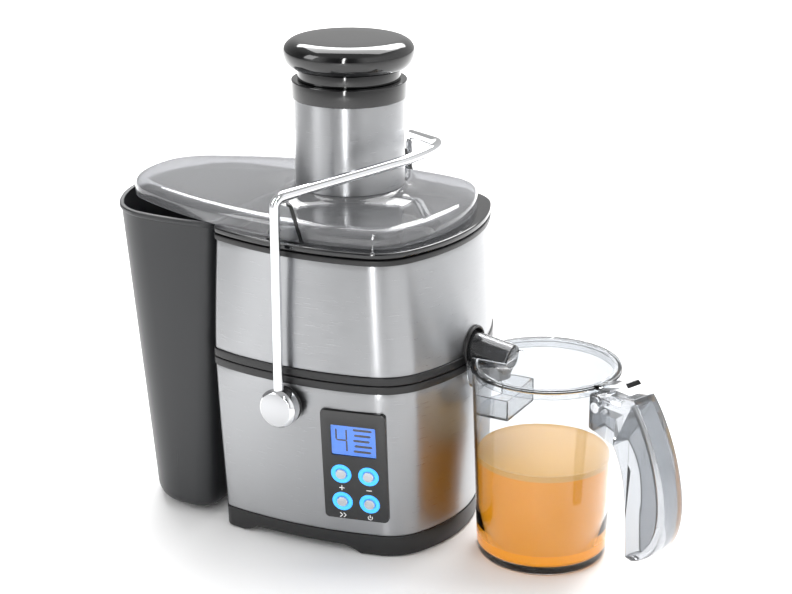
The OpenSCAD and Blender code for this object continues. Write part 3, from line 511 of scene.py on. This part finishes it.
def base():
    low_ring = lambda d, lift: [(x, y, arch_lift(x) + lift) for x, y, z in body_ring(4, d)]
    outside = [(10, 0.2), (16.6, 0.7), (17.6, 0.6), (18, 0.1)]
    inside = [(18, -1.3), (24, -1.3), (24, -3.4), (17, -3.8)]
    rings = [low_ring(-1.4, 0), low_ring(-0.5, 0.4), low_ring(-0.1, 1.4)]
    rings += [body_ring(z, d) for z, d in outside + inside] + [low_ring(-4.4, 0.2)]
    build("base_skirt", *loft(rings, True), BLACK, "housing", ["base_tray"], slot="black_plastic")
    floor = build("base_floor", *loft([body_ring(8, -3.2), body_ring(10.5, -3.2)]), BLACK, "housing",
                  slot="black_plastic")
    slots = [cutter("vent", *box_mesh((i * 7 - 1.5, -30, 0), (i * 7 + 1.5, 30, 30))) for i in range(-4, 5)]
    carve(floor, slots)
    boss = [(0, 4.2), (9.1, 4.2), (9.1, 1.4), (10.6, 1.4), (10.9, 1.8), (10.9, 8), (0, 8)]
    for i, place in enumerate(((-58, -66), (62, -62), (-58, 66), (62, 62))):
        build(f"foot_boss_{i}", *lathe(boss, 48, place, closed=False), BLACK, "housing", slot="black_plastic")


def pivots():
    for side, name in ((-1, "front"), (1, "rear")):
        place = lambda p, s=side: (PIVOT[0] + p[0], s * p[2], PIVOT[1] + p[1])
        boss = [(0, 86), (11.9, 86), (11.9, 98.6)] + arc(14.2, 99.9, 0.8, -90, 0, 3)
        boss += arc(14.2, 101.3, 0.8, 0, 90, 3) + [(0, 102.1)]
        build(f"boss_{name}", *lathe(boss, 96, place=place, closed=False), BLACK, "housing",
              ["pivot_bosses"] if side < 0 else (), slot="black_plastic")
        knob = [(0, 102.6), (13.6, 102.6)] + arc(14.3, 103.4, 0.9, -60, 0, 3) + [(15.2, 108.5)]
        knob += arc(14.1, 109.8, 1.2, 0, 45, 3) + [(13.2, 113.2), (12.7, 113.4), (0, 113.4)]
        o = build(f"knob_{name}", *lathe(knob, 128, place=place, closed=False), CHROME, "bail",
                  ["pivot_knobs"] if side < 0 else (), slot="brushed_steel")
        o.data.materials.append(KNOB)
        for f in o.data.polygons:
            if abs(f.normal.y) > 0.99 and abs(f.center.y) > 0.113:
                f.material_index = 1


def bail():
    rise = math.tan(math.radians(BOW_RISE))
    bow = lambda x, y: Vector((PIVOT[0] + x, y, BOW_Z + x * rise))
    nose_c = 68 - PIVOT[0] - NOSE_R
    touch = math.degrees(math.atan2(-LEG_Y, -nose_c) + math.acos(NOSE_R / math.hypot(nose_c, LEG_Y)))
    nose = [bow(nose_c + NOSE_R * cosd(a), NOSE_R * sind(a)) for a in steps(touch, 0, 32)]
    turn = bow(0, -LEG_Y)
    arm = (nose[0] - turn).normalized()
    up = Vector((0, 0, 1))
    angle = math.acos(arm.dot(up))
    side = (arm - up * arm.dot(up)).normalized()
    centre = turn - up * BEND_R * math.tan(angle / 2) + side * BEND_R
    bend = [centre - side * BEND_R * math.cos(a) + up * BEND_R * math.sin(a) for a in steps(0, angle, 12)]
    half = [Vector((PIVOT[0], -LEG_Y, z)) for z in (131, 180, 230)] + bend + nose
    path = half + [Vector((p.x, -p.y, p.z)) for p in reversed(half[:-1])]
    build("bail_bar", *tube_along(path, BAR_R - 0.03), CHROME, "bail", ["bail"], slot="chrome")


# ---- Lid, chute and pusher ----


def lid():
    edge = [(FLANGE_LOW, -11, 0), (FLANGE_LOW, 2.5), (FLANGE_TOP, 2.5), (FLANGE_TOP, -11, 0)]
    rings = [body_ring(z, d) for z, d in rounded(edge, 1.6, 6)]
    build("lid_flange", *loft(rings, True), SMOKE_EDGE, "housing", slot="smoke")
    circle = lambda r, z: [(r * cosd(t), r * sind(t), z) for t in TURNS]
    mixed = lambda o, k, z, d, r: [tuple(Vector(p) * (1 - k) + Vector(q) * k) for p, q in
                                   zip(outline_ring(o, z, d), circle(r, z))]
    shoulder = arc(0, 0, 8, 0, 90, 8)
    outer = [outline_ring(DOME, FLANGE_TOP + 0.02)]
    outer += [outline_ring(DOME, 257.4 + y, x - 8) for x, y in shoulder]
    outer += [mixed(DOME, k, 265.4 + 0.55 * k, -8.0, 56) for k in (0.25, 0.5, 0.75, 1.0)]
    outer += [circle(50, 267.2), circle(45, 270.2), circle(42.6, 273.2), circle(41.2, 273.3)]
    inner = [circle(41.0, 272.0), circle(44.0, 268.4), circle(49.5, 265.2), mixed(DOME, 1.0, 263.6, -8, 56)]
    inner += [mixed(DOME, k, 263.1 + 0.5 * k, -8.6, 56) for k in (0.75, 0.5, 0.25)]
    inner += [outline_ring(DOME, 257.0 + y, x - 8.2) for x, y in reversed(arc(0, 0, 6, 0, 90, 8))]
    inner += [outline_ring(DOME, FLANGE_TOP + 0.02, -2.2)]
    build("lid_dome", *loft(outer + inner, True), SMOKE, "housing", ["lid_cover", "chute_skirt"],
          slot="smoke", sharp=50)


def chute():
    tube = rounded([(CHUTE_R, 190), (TUBE_R, 190), (TUBE_R, CHUTE_TOP), (CHUTE_R, CHUTE_TOP)], 0.8)
    build("feed_tube", *lathe(tube), SMOKE_DARK, "housing", ["chute_tube"], slot="smoke")
    sleeve = rounded([(40.7, 273.6), (SLEEVE_R, 273.6), (SLEEVE_R, 342), (40.7, 342)], 0.5)
    build("sleeve", *lathe(sleeve, 160), STEEL, "housing", ["chute_sleeve"], slot="brushed_steel")
    collar = rounded([(CHUTE_R, CHUTE_TOP), (SLEEVE_R, CHUTE_TOP, 0), (SLEEVE_R, 341.2), (COLLAR_R, 341.2),
                      (COLLAR_R, COLLAR_TOP), (CHUTE_R, COLLAR_TOP)], 1.0)
    build("collar", *lathe(collar, 160), GLOSS, "housing", ["chute_collar"], slot="gloss_black")


def pusher():
    stem_r, neck_low = 36.9, COLLAR_TOP + 0.1
    body = [(0, 192)] + arc(34.9, 194, 2, -90, 0, 4) + [(stem_r, 354.9), (stem_r, neck_low)]
    body += rounded([(stem_r, neck_low, 0), (39.1, neck_low), (39.1, CAP_LOW), (34, CAP_LOW, 0)], 0.8)[1:]
    body += [(0, CAP_LOW)]
    build("pusher_stem", *lathe(body, 128, closed=False), GLOSS, "pusher", ["pusher_body"],
          slot="black_plastic")
    cap = [(0, 364.1), (39.5, 364.1), (40.5, 364.6)]
    cap += [(40 + 10 * cosd(a), CAP_EDGE + 11.1 / sind(60) * sind(a)) for a in range(-60, 1, 10)]
    cap += [(38 + 12 * cosd(a), CAP_EDGE + 9.7 * sind(a)) for a in range(8, 91, 8)]
    cap += [(36, 385.9), (20, 386), (0, 386)]
    build("pusher_knob", *lathe(cap, 160, closed=False), GLOSS, "pusher", ["pusher_cap"], slot="gloss_black")


# ---- Pulp bin ----


def bin_ring(z, d):
    """The bin's outline at a height, moved outwards by d."""
    k = (250.6 - z) / 244.6
    blend = lambda t: outline_point(BIN_RIM, t) * (1 - k) + outline_point(BIN_FOOT, t) * k
    return [(*(blend(t) + d * Vector((cosd(t), sind(t)))), z) for t in TURNS]


def pulp_bin():
    rings = [bin_ring(6 + 7 * (1 - sind(a)), -7 * (1 - cosd(a))) for a in range(90, -1, -15)]
    rings += [bin_ring(z, 0) for z in steps(20, 245, 12)]
    bead = [(246.2, 0.1), (246.6, 0.9), (247.4, 1.4), (249.4, 1.45), (250.4, 0.8)]
    brim = [(250.6, 0), (250.6, -1.6), (250.2, -2.2)]
    rings += [bin_ring(z, d) for z, d in bead + brim]
    rings += [bin_ring(z, -2.2) for z in steps(240, 18, 6)] + [bin_ring(10, -6), bin_ring(8.3, -12)]
    build("pulp_bin_shell", *loft(rings), CHARCOAL, "pulp_bin", ["pulp_bin"], slot="bin_plastic")


# ---- Spout and jug ----


def spout():
    length = (SPOUT_TIP - SPOUT_X) / cosd(SPOUT_FALL)
    body = [(0, 12), (SPOUT_R, 12), (SPOUT_R, length - 1.2), (SPOUT_R - 1.2, length), (0, length)]
    o = build("spout_shell", *lathe(body, 96, place=spout_axis, closed=False), SMOKE_DARK, "housing",
              ["spout"], slot="smoke")
    down = lambda r, z0, z1: lathe([(0, z0), (r, z0), (r, z1), (0, z1)], 96, (125.1, 0), closed=False)
    carve(o, [cutter("outlet", *down(12.0, 135.05, 150))], "UNION")
    bore = [(0, 0), (10.8, 0), (10.8, length - 2.2), (0, length - 2.2)]
    hollow = cutter("hollow", *lathe(bore, 96, place=spout_axis, closed=False))
    carve(o, [hollow, cutter("drop", *down(9.8, 130, 151))])
    collar = rounded([(12.4, 95.2), (17.35, 95.2), (17.35, 108.7), (15.6, 108.7), (14.4, 104),
                      (12.4, 104)], 0.8)
    build("spout_ring", *lathe(collar, 96, place=along_x), BLACK, "housing", ["spout_collar"],
          slot="black_plastic")


def jug_wall(shares, d=0.0):
    """Points up the jug's tapered wall, at shares of its height, moved inwards by d."""
    return [(BASE_R + (RIM_R - BASE_R) * k - d, 5 + (JUG_H - 5) * k) for k in shares]


def lip_block(r, x0, x1):
    """A trough with a round floor, level along X, open at the top."""
    ring = [(r * cosd(a), r * sind(a)) for a in range(180, 361, 6)] + [(r, 60), (-r, 60)]
    return loft([[(x, y, 142 + z) for y, z in ring] for x in (x0, x1)])


def jug():
    rim = [(RIM_R, JUG_H - 2.8), (RIM_R + 0.9, JUG_H - 2.4), (RIM_R + 1.0, JUG_H - 0.5), (RIM_R + 0.5, JUG_H)]
    outer = [(0, 0)] + arc(BASE_R - 5, 5, 5, -90, 0, 6) + jug_wall((0.25, 0.5, 0.75)) + rim
    floor = [(0, 5.5), (36, 5.2), (44, 6.6)]
    inner = [(RIM_R - 2.6, JUG_H), (RIM_R - 2.9, JUG_H - 1)]
    inner += jug_wall((0.75, 0.5, 0.25, 0.08), JUG_WALL) + floor[::-1]
    o = build("jug_body", *lathe(outer + inner, 192, (JUG_X, 0), closed=False), CLEAR, "jug", ["jug_cup"],
              slot="clear", sharp=45)
    lip = cutter("lip", *lip_block(17.5, 109.5, 118.5))
    top = cutter("top", *box_mesh((90, -40, 151.98), (130, 40, 230)))
    carve(lip, [top])
    carve(o, [lip], "UNION")
    hollow = floor + jug_wall((0.08, 0.25, 0.5, 0.75), JUG_WALL)
    hollow += [(RIM_R - JUG_WALL, JUG_H - 1), (RIM_R - JUG_WALL, 158), (0, 158)]
    bowl = cutter("bowl", *lathe(hollow, 192, (JUG_X, 0), closed=False))
    carve(o, [bowl, cutter("notch", *lip_block(15.4, 95, 130))], sharp=45)
    handle()


def juice():
    inside = lambda z: BASE_R + (RIM_R - BASE_R) * (z - 5) / (JUG_H - 5) - JUG_WALL - 0.12
    body = [(0, 5.7), (36, 5.4), (43.8, 6.8), (inside(9), 9.5)]
    body += [(inside(z), z) for z in (30, 50, JUICE_TOP)] + [(0, JUICE_TOP)]
    # the juice's faint glow is painted light, standing in for light scattered inside it
    build("juice", *lathe(body, 128, (JUG_X, 0), closed=False), JUICE_WITH_PAINTED_GLOW, "jug")
    low, edge = JUICE_TOP + 0.05, JUICE_TOP + 4
    foam = [(0, low), (inside(JUICE_TOP), low), (inside(edge), edge + 0.6), (inside(edge) - 2, edge - 0.2),
            (44, edge - 0.8), (0, edge - 0.6)]
    # the froth's faint glow is painted light, standing in for light scattered inside it
    build("froth", *lathe(foam, 128, (JUG_X, 0), closed=False), FROTH_WITH_PAINTED_GLOW, "jug")


def bezier(p, t):
    weights = ((1 - t) ** 3, 3 * t * (1 - t) ** 2, 3 * t * t * (1 - t), t ** 3)
    return tuple(sum(w * q[i] for w, q in zip(weights, p)) for i in (0, 1))


HANDLE_TURN = 22.0


def on_handle(p):
    """From the handle's own plane (reach, height, sideways) to the machine."""
    c, s = cosd(HANDLE_TURN), sind(HANDLE_TURN)
    return (JUG_X + p[0] * c - p[2] * s, -p[0] * s - p[2] * c, p[1])


def handle_shape():
    back = [(98.6, 158), (122.4, 132.5), (155.7, 51.9), (102, 31)]
    palm = [(95.5, 32), (93, 60), (95, 92), (79, 115)]
    shape = [(54.5, 149), (84, 149), (88, 156)]
    shape += [bezier(curve, i / 24) for curve in (back, palm) for i in range(25)]
    return shape + [(54.5, 122)]


def shrink(shape, d):
    """Moves a closed outline inwards by d."""
    out = []
    n = len(shape)
    for i in range(n):
        a, p, b = Vector(shape[i - 1]), Vector(shape[i]), Vector(shape[(i + 1) % n])
        e, f = (p - a).normalized(), (b - p).normalized()
        m = (Vector((-e.y, e.x)) + Vector((-f.y, f.x)))
        m = m.normalized() if m.length > 1e-6 else Vector((-e.y, e.x))
        k = max(m.dot(Vector((-e.y, e.x))), 0.5)
        out.append(tuple(p - m * d / k))
    return out


def handle():
    shape = handle_shape()
    side = [(-11, 2.0), (-10.6, 0.9), (-9.4, 0.1), (9.4, 0.1), (10.6, 0.9), (11, 2.0)]
    rings = [[on_handle((x, z, s)) for x, z in shrink(shape, d)] for s, d in side]
    o = build("handle_shell", *loft(rings), CLEAR_THICK, "jug", ["jug_handle"], slot="clear", sharp=40)
    grip = [(x - 5.0, z - 1.5) for x, z in shrink(shape[3:-1], 3.4)]
    channel = cutter("channel", *loft([[on_handle((x, z, s)) for x, z in grip] for s in (-8, 8)]))
    root = [(59, 100), (77.5, 100), (80.5, 137), (59, 137)]
    pocket = cutter("pocket", *loft([[on_handle((x, z, s)) for x, z in root] for s in (-8, 8)]))
    carve(o, [channel, pocket], sharp=40)


# ---- Control panel pieces ----


def panel():
    levels = [(4.6, 0.1), (FACE + 0.9, 0.1), (FACE + 0.3, 0.3), (FACE, 1.0)]
    o = build("panel_face", *plate(PANEL_W, PANEL_H, 4.0, levels), GLOSS, "housing", ["panel_bezel"],
              slot="gloss_black")
    window = cutter("window", *plate(35, 26, 1.0, [(-5, 0), (8, 0)], (0, LCD_Z)))
    holes = [cutter("hole", *lathe([(0, -5), (8.1, -5), (8.1, 9), (0, 9)], 64,
             place=lambda p, b=b: on_panel((b[0] + p[0], p[2], b[1] + p[1])), closed=False)) for b in BUTTONS]
    carve(o, [window] + holes)
    build("display", *plate(35.4, 26.4, 1.0, [(3.0, 0), (0.4, 0)], (0, LCD_Z)), LCD, "housing",
          ["lcd_module"], slot="lcd_blue")
    build("display_window", *plate(35.6, 26.6, 1.2, [(-0.1, 0), (-0.6, 0)], (0, LCD_Z)), WINDOW, "housing",
          ["lcd_window"], slot="lcd_glass")
    for i, (bx, bz) in enumerate(BUTTONS):
        place = lambda p, c=(bx, bz): on_panel((c[0] + p[0], -p[2], c[1] + p[1]))
        ring = [(4.7, -1.2), (8.0, -1.2), (8.0, 1.3), (7.6, 1.7), (5.6, 1.75), (4.7, 1.3)]
        build(f"light_ring_{i}", *lathe(ring, 64, place=place), RING, "housing",
              ["button_light_rings"] if i == 0 else (), slot="light_blue")
        name = ("plus", "minus", "turbo", "power")[i]
        cap = [(0, -5), (4.25, -5), (4.25, 2.2), (3.9, 2.65), (3.2, 2.78), (0, 2.6)]
        build(f"{name}_cap", *lathe(cap, 64, place=place, closed=False), SILVER, f"button_{name}",
              [f"button_{name}"], slot="button_silver")


def mark(name, shapes, depth, material, body="housing"):
    """Flat marks on the panel, from closed outlines of (x, z) points."""
    verts, faces = [], []
    for shape in shapes:
        v, f = loft([[on_panel((x, y, z)) for x, z in shape] for y in (depth + 0.1, depth)])
        faces += [tuple(i + len(verts) for i in g) for g in f]
        verts += v
    return build(name, verts, faces, material, body, merge=False)


def bar(x0, z0, x1, z1, w):
    """A bar with pointed ends, as on a segment display."""
    d = Vector((x1 - x0, z1 - z0)).normalized() * (w / 2)
    n = Vector((-d.y, d.x))
    a, b = Vector((x0, z0)), Vector((x1, z1))
    return [tuple(a + n), tuple(a - d), tuple(a - n), tuple(b - n), tuple(b + d), tuple(b + n)]


def marks():
    strokes = [(-13.6, 30.6, -13.6, 22.6), (-5.6, 30.6, -5.6, 22.6), (-12.9, 21.8, -6.3, 21.8),
               (-5.6, 21.0, -5.6, 12.8)]
    digit = [bar(*stroke, 1.3) for stroke in strokes]
    mark("display_digit", digit, 0.25, SEGMENT)
    line_z = [31.4 - 4.6 * i for i in range(5)]
    lines = [bar(0.4 + (0.8 * (i % 2)), z, 13.6 - (i % 3), z, 1.9) for i, z in enumerate(line_z)]
    mark("display_lines", lines, 0.25, SEGMENT)
    (px, pz), (mx, mz), (tx, tz), (ox, oz) = [(x, z - 12.3) for x, z in BUTTONS]
    face = FACE - 0.08
    signs = [bar(px - 1.9, pz, px + 1.9, pz, 0.7), bar(px, pz - 1.9, px, pz + 1.9, 0.7)]
    signs += [bar(mx - 1.9, mz, mx + 1.9, mz, 0.7)]
    for k in (-2.2, 0.6):
        signs += [bar(tx + k, tz + 1.8, tx + k + 1.7, tz, 0.7), bar(tx + k + 1.7, tz, tx + k, tz - 1.8, 0.7)]
    ring = arc(ox, oz, 2.0, -225, 45, 18) + arc(ox, oz, 1.4, 45, -225, 18)
    signs += [bar(ox, oz + 0.2, ox, oz + 2.3, 0.7), ring]
    mark("panel_signs", signs, face, PRINT)


# ---- Camera, floor and lights ----


def camera():
    data = bpy.data.cameras.new("camera")
    data.sensor_width = 36.0
    data.lens = 82.6
    o = bpy.data.objects.new("camera", data)
    bpy.context.scene.collection.objects.link(o)
    o.location = at((651.8, -1180.7, 654.3))
    turn, down = 27.4, 19.4
    look = Vector((-sind(turn) * cosd(down), cosd(turn) * cosd(down), -sind(down)))
    o.rotation_mode = "QUATERNION"
    o.rotation_quaternion = look.to_track_quat("-Z", "Y")
    bpy.context.scene.camera = o


def area(name, place, target, size, power, colour="#ffffff"):
    data = bpy.data.lights.new(name, "AREA")
    data.shape = "RECTANGLE"
    data.size, data.size_y = size
    data.energy = power
    data.color = linear(colour)[:3]
    o = bpy.data.objects.new(name, data)
    bpy.context.scene.collection.objects.link(o)
    o.location = Vector(place)
    o.rotation_mode = "QUATERNION"
    o.rotation_quaternion = (Vector(target) - Vector(place)).to_track_quat("-Z", "Y")


def stage():
    mesh = bpy.data.meshes.new("floor")
    mesh.from_pydata([(-7, -7, 0), (7, -7, 0), (7, 7, 0), (-7, 7, 0)], [], [(0, 1, 2, 3)])
    mesh.materials.append(finish("pale_floor", "#f7f7f7", 0.7))
    floor = bpy.data.objects.new("floor", mesh)
    bpy.context.scene.collection.objects.link(floor)
    surroundings()
    area("overhead", (-0.25, 0.75, 1.9), (-0.15, 0.45, 0), (2.2, 1.6), 52)
    area("back_wall", (-1.6, 4.2, 3.4), (-1.6, 4.2, 0), (5.0, 4.0), 420)
    area("strip", (0.5, -1.55, 0.85), (0, 0, 0.2), (0.1, 1.7), 13)
    area("left_box", (-1.35, -1.3, 1.2), (0, 0, 0.15), (0.7, 1.1), 9)


# brightness of the studio round the horizon, by direction in degrees from +X
STUDIO = [(-180, 0.25), (-150, 0.15), (-140, 0.75), (-128, 1.3), (-114, 1.0), (-98, 0.25), (-82, 0.06),
          (-64, 0.05), (-50, 0.2), (-32, 1.2), (10, 1.4), (40, 0.9), (60, 0.3), (85, 0.1), (120, 0.4),
          (180, 0.25)]


def surroundings():
    """A studio whose walls are light and dark in upright bands, under a light ceiling."""
    world = bpy.data.worlds.new("world")
    bpy.context.scene.world = world
    world.use_nodes = True
    tree = world.node_tree
    place = add(tree, "ShaderNodeTexCoord")
    parts = add(tree, "ShaderNodeSeparateXYZ", {0: place.outputs["Generated"]})
    turn = add(tree, "ShaderNodeMath", {0: parts.outputs["Y"], 1: parts.outputs["X"]}, operation="ARCTAN2")
    share = add(tree, "ShaderNodeMath", {0: turn.outputs[0], 1: 0.5 / math.pi, 2: 0.5},
                operation="MULTIPLY_ADD")
    ramp = add(tree, "ShaderNodeValToRGB", {"Fac": share.outputs[0]})
    for i, (angle, value) in enumerate(STUDIO):
        stop = ramp.color_ramp.elements[i] if i < 2 else ramp.color_ramp.elements.new(0.5)
        stop.position = (angle + 180) / 360
        stop.color = (value, value, value, 1)
    high = add(tree, "ShaderNodeMapRange", {"Value": parts.outputs["Z"], "From Min": 0.55, "From Max": 0.8})
    blend = add(tree, "ShaderNodeMix", {0: high.outputs[0], 6: ramp.outputs["Color"]}, data_type="RGBA")
    blend.inputs[7].default_value = (0.5, 0.5, 0.5, 1)
    back = tree.nodes["Background"]
    tree.links.new(blend.outputs[2], back.inputs["Color"])
    back.inputs["Strength"].default_value = 1.0


def main():
    dress_frame()
    jackets()
    base()
    band("lower_trim", 141.25, 147.7, 1.2, -1.3, ["seam_trim_lower"], BLACK, "black_plastic", True)
    band("upper_trim", 148.3, 154.75, 1.2, -1.3, ["seam_trim_upper"], BLACK, "black_plastic", True)
    band("rim_band", 241.05, 245.4, 2.45, -3.0, ["bowl_rim"], BLACK, "grey_plastic")
    pivots()
    bail()
    lid()
    chute()
    pusher()
    pulp_bin()
    spout()
    jug()
    juice()
    panel()
    marks()
    stage()
    camera()


bpy.context.scene.view_settings.view_transform = "Standard"
main()
